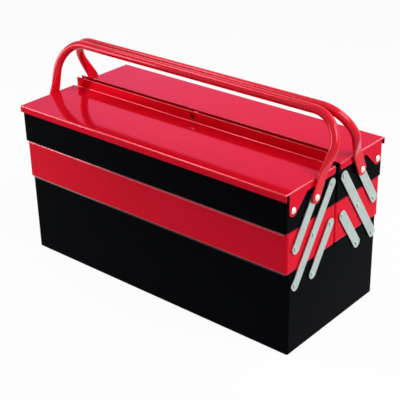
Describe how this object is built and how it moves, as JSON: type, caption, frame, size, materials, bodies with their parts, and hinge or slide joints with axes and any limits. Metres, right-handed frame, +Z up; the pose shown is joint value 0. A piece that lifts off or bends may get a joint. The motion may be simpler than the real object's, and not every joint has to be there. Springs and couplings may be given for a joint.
{
  "type": "cantilever tool box",
  "caption": "Folded steel tool box with a base, stepped middle and top trays on swinging links, two hinged lids with padlock lips and two tube handles",
  "frame": {"origin": "middle of the flat underside of the base, which stands on the floor", "axes": "+X along the box to its right end, +Y from the front to the rear, +Z up"},
  "size_m": [0.456, 0.2, 0.2819],
  "materials": {
    "black_paint_base": "gloss baked enamel over folded sheet steel",
    "black_paint_top": "gloss baked enamel over folded sheet steel",
    "black_paint_dividers": "satin baked enamel over folded sheet steel",
    "red_paint_mid": "gloss baked enamel over folded sheet steel",
    "red_paint_lid": "gloss baked enamel over folded sheet steel",
    "red_paint_handle": "gloss baked enamel over steel tube",
    "zinc_links": "bright zinc plate with faint rolling grain",
    "zinc_washers": "bright zinc plate",
    "flat_rivets": "zinc plated, worn bright on the head",
    "dome_rivets": "warm nickel plate, polished dome"
  },
  "bodies": {
    "base": {"base_box": "black_paint_base", "base_rivets": "flat_rivets", "base_washers": "zinc_washers"},
    "front_long_links": {"front_long_link_left": "zinc_links", "front_long_link_right": "zinc_links"},
    "front_lower_links": {"front_lower_link_left": "zinc_links", "front_lower_link_right": "zinc_links"},
    "front_mid": {"front_mid_tray": "red_paint_mid", "front_mid_divider": "black_paint_dividers", "front_mid_rivets": "flat_rivets", "front_mid_washers": "zinc_washers"},
    "front_top": {"front_top_tray": "black_paint_top", "front_top_dividers": "black_paint_dividers", "front_top_rivets": "flat_rivets", "front_top_washers": "zinc_washers", "front_handle_rivets": "dome_rivets", "front_lid_rivets": "dome_rivets"},
    "front_handle": {"front_handle": "red_paint_handle", "front_upper_link_left": "zinc_links", "front_upper_link_right": "zinc_links"},
    "front_lid": {"front_lid": "red_paint_lid"},
    "rear_long_links": {"rear_long_link_left": "zinc_links", "rear_long_link_right": "zinc_links"},
    "rear_lower_links": {"rear_lower_link_left": "zinc_links", "rear_lower_link_right": "zinc_links"},
    "rear_mid": {"rear_mid_tray": "red_paint_mid", "rear_mid_divider": "black_paint_dividers", "rear_mid_rivets": "flat_rivets", "rear_mid_washers": "zinc_washers"},
    "rear_top": {"rear_top_tray": "black_paint_top", "rear_top_dividers": "black_paint_dividers", "rear_top_rivets": "flat_rivets", "rear_top_washers": "zinc_washers", "rear_handle_rivets": "dome_rivets", "rear_lid_rivets": "dome_rivets"},
    "rear_handle": {"rear_handle": "red_paint_handle", "rear_upper_link_left": "zinc_links", "rear_upper_link_right": "zinc_links"},
    "rear_lid": {"rear_lid": "red_paint_lid"}
  },
  "joints": [
    {"name": "front_open", "type": "hinge", "parent": "base", "child": "front_long_links", "pos_m": [0, -0.081, 0.092], "axis": [1, 0, 0], "range_deg": [0, 67.25]},
    {"name": "front_mid_level", "type": "hinge", "parent": "front_long_links", "child": "front_mid", "pos_m": [0, -0.04675, 0.1435], "axis": [1, 0, 0], "range_deg": [-67.25, 0]},
    {"name": "front_top_level", "type": "hinge", "parent": "front_long_links", "child": "front_top", "pos_m": [0, -0.0125, 0.195], "axis": [1, 0, 0], "range_deg": [-67.25, 0]},
    {"name": "front_lower_swing", "type": "hinge", "parent": "base", "child": "front_lower_links", "pos_m": [0, -0.04675, 0.092], "axis": [1, 0, 0], "range_deg": [0, 67.25]},
    {"name": "front_handle_swing", "type": "hinge", "parent": "front_top", "child": "front_handle", "pos_m": [0, -0.04675, 0.1915], "axis": [1, 0, 0], "range_deg": [0, 67.25]},
    {"name": "front_lid_hinge", "type": "hinge", "parent": "front_top", "child": "front_lid", "pos_m": [0, -0.086, 0.1901], "axis": [1, 0, 0], "range_deg": [0, 64]},
    {"name": "rear_open", "type": "hinge", "parent": "base", "child": "rear_long_links", "pos_m": [0, 0.081, 0.092], "axis": [-1, 0, 0], "range_deg": [0, 67.25]},
    {"name": "rear_mid_level", "type": "hinge", "parent": "rear_long_links", "child": "rear_mid", "pos_m": [0, 0.04675, 0.1435], "axis": [-1, 0, 0], "range_deg": [-67.25, 0]},
    {"name": "rear_top_level", "type": "hinge", "parent": "rear_long_links", "child": "rear_top", "pos_m": [0, 0.0125, 0.195], "axis": [-1, 0, 0], "range_deg": [-67.25, 0]},
    {"name": "rear_lower_swing", "type": "hinge", "parent": "base", "child": "rear_lower_links", "pos_m": [0, 0.04675, 0.092], "axis": [-1, 0, 0], "range_deg": [0, 67.25]},
    {"name": "rear_handle_swing", "type": "hinge", "parent": "rear_top", "child": "rear_handle", "pos_m": [0, 0.04675, 0.1915], "axis": [-1, 0, 0], "range_deg": [0, 67.25]},
    {"name": "rear_lid_hinge", "type": "hinge", "parent": "rear_top", "child": "rear_lid", "pos_m": [0, 0.086, 0.1901], "axis": [-1, 0, 0], "range_deg": [0, 64]}
  ],
  "couplings": [
    {"joint": "front_mid_level", "follows": "front_open", "ratio": -1},
    {"joint": "front_top_level", "follows": "front_open", "ratio": -1},
    {"joint": "front_lower_swing", "follows": "front_open", "ratio": 1},
    {"joint": "front_handle_swing", "follows": "front_open", "ratio": 1},
    {"joint": "rear_mid_level", "follows": "rear_open", "ratio": -1},
    {"joint": "rear_top_level", "follows": "rear_open", "ratio": -1},
    {"joint": "rear_lower_swing", "follows": "rear_open", "ratio": 1},
    {"joint": "rear_handle_swing", "follows": "rear_open", "ratio": 1}
  ]
}
